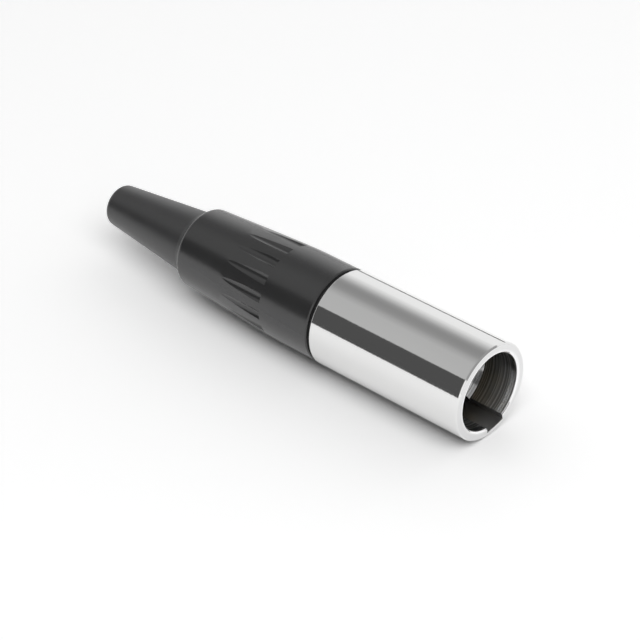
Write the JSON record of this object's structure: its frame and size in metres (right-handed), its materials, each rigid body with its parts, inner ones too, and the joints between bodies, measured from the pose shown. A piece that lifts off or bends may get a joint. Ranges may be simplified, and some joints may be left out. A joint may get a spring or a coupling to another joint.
{
  "type": "mini xlr connector",
  "caption": "Male mini XLR cable plug: keyed round metal barrel with recessed contact pins, a fluted boot nut that screws on behind it, and a tapering flex relief.",
  "frame": {"origin": "centre of the mouth, on the plug's axis, in the plane of the rim", "axes": "+Z from the mouth to the cable, along the plug's axis, as the plug stands on its mouth; the keyway is 78 degrees round from +X towards +Y"},
  "size_m": [0.01, 0.01, 0.0498],
  "materials": {
    "barrel": "bright plating over fine turning marks",
    "insulator": "moulded, matt",
    "contact": "thin gold plating",
    "tag": "tinned",
    "chuck": "moulded, natural colour",
    "boot": "moulded, satin black",
    "tail": "soft moulding, dull black"
  },
  "bodies": {
    "plug_body": {"barrel": "barrel", "insulator": "insulator", "pin_1": "contact", "pin_2": "contact", "pin_3": "contact", "ground_tag": "tag", "chuck": "chuck"},
    "tail_carrier": {"flex_tail": "tail"},
    "boot": {"boot_nut": "boot"}
  },
  "joints": [
    {"name": "boot_travel", "type": "slide", "parent": "plug_body", "child": "tail_carrier", "axis": [0, 0, 1], "range_m": [0, 0.00375]},
    {"name": "boot_turn", "type": "hinge", "parent": "tail_carrier", "child": "boot", "pos_m": [0, 0, 0.03], "axis": [0, 0, 1], "range_deg": [0, 1800]}
  ],
  "couplings": [
    {"joint": "boot_turn", "follows": "boot_travel", "rad_per_m": 8377.6}
  ]
}
